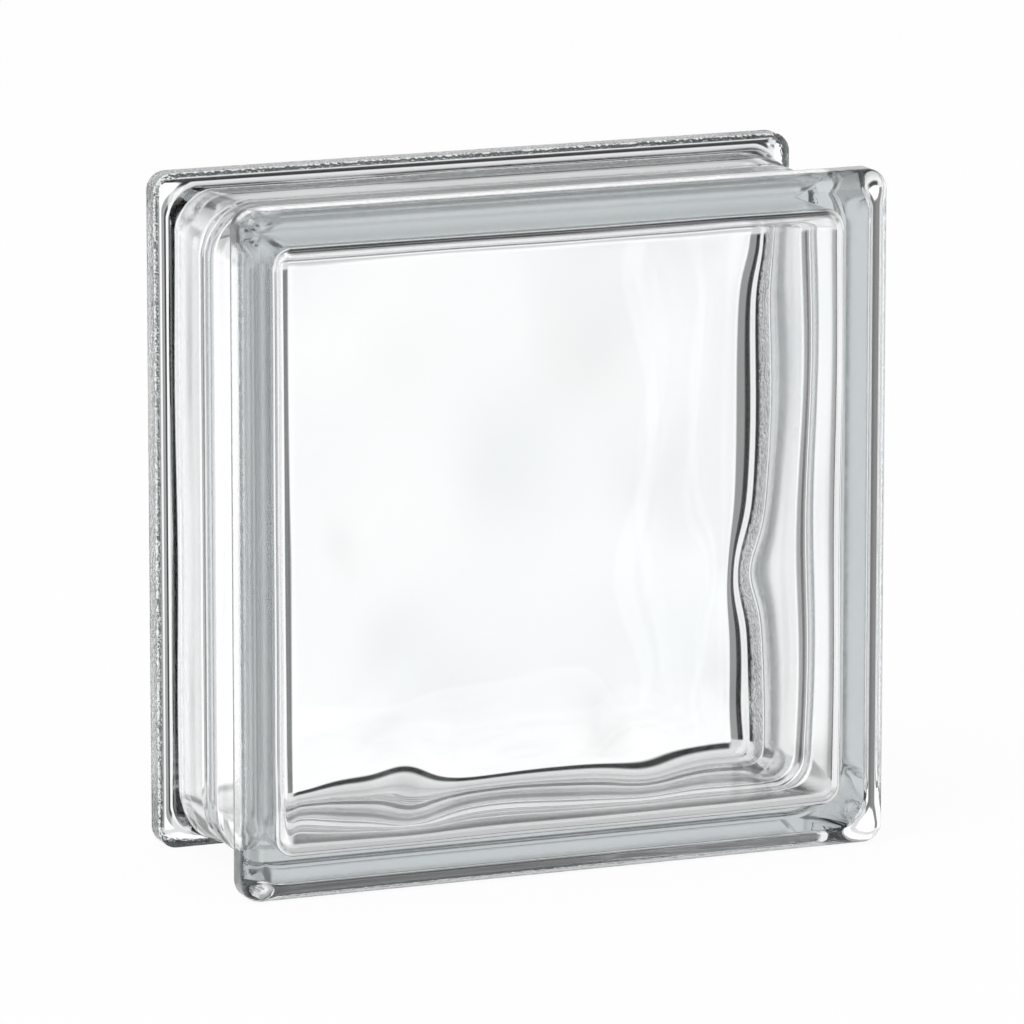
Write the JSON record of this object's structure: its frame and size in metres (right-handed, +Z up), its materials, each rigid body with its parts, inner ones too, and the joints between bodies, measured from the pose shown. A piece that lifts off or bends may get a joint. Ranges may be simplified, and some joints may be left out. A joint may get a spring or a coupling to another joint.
{
  "type": "glass block",
  "caption": "Hollow square building block of clear glass with flat outer faces, waved inner faces, a flange round each face and a shallow mortar channel between the flanges.",
  "frame": {"origin": "middle of the base that the block stands on, half way between its two faces", "axes": "+X across the face, +Y from the front face through the block to the back face, +Z up the face"},
  "size_m": [0.19, 0.08, 0.19],
  "materials": {
    "clear_glass": "pressed clear glass, fire-polished on the faces and faintly stippled on the flanges' outsides"
  },
  "bodies": {
    "root": {"front_shell": "clear_glass", "back_shell": "clear_glass"}
  },
  "joints": []
}
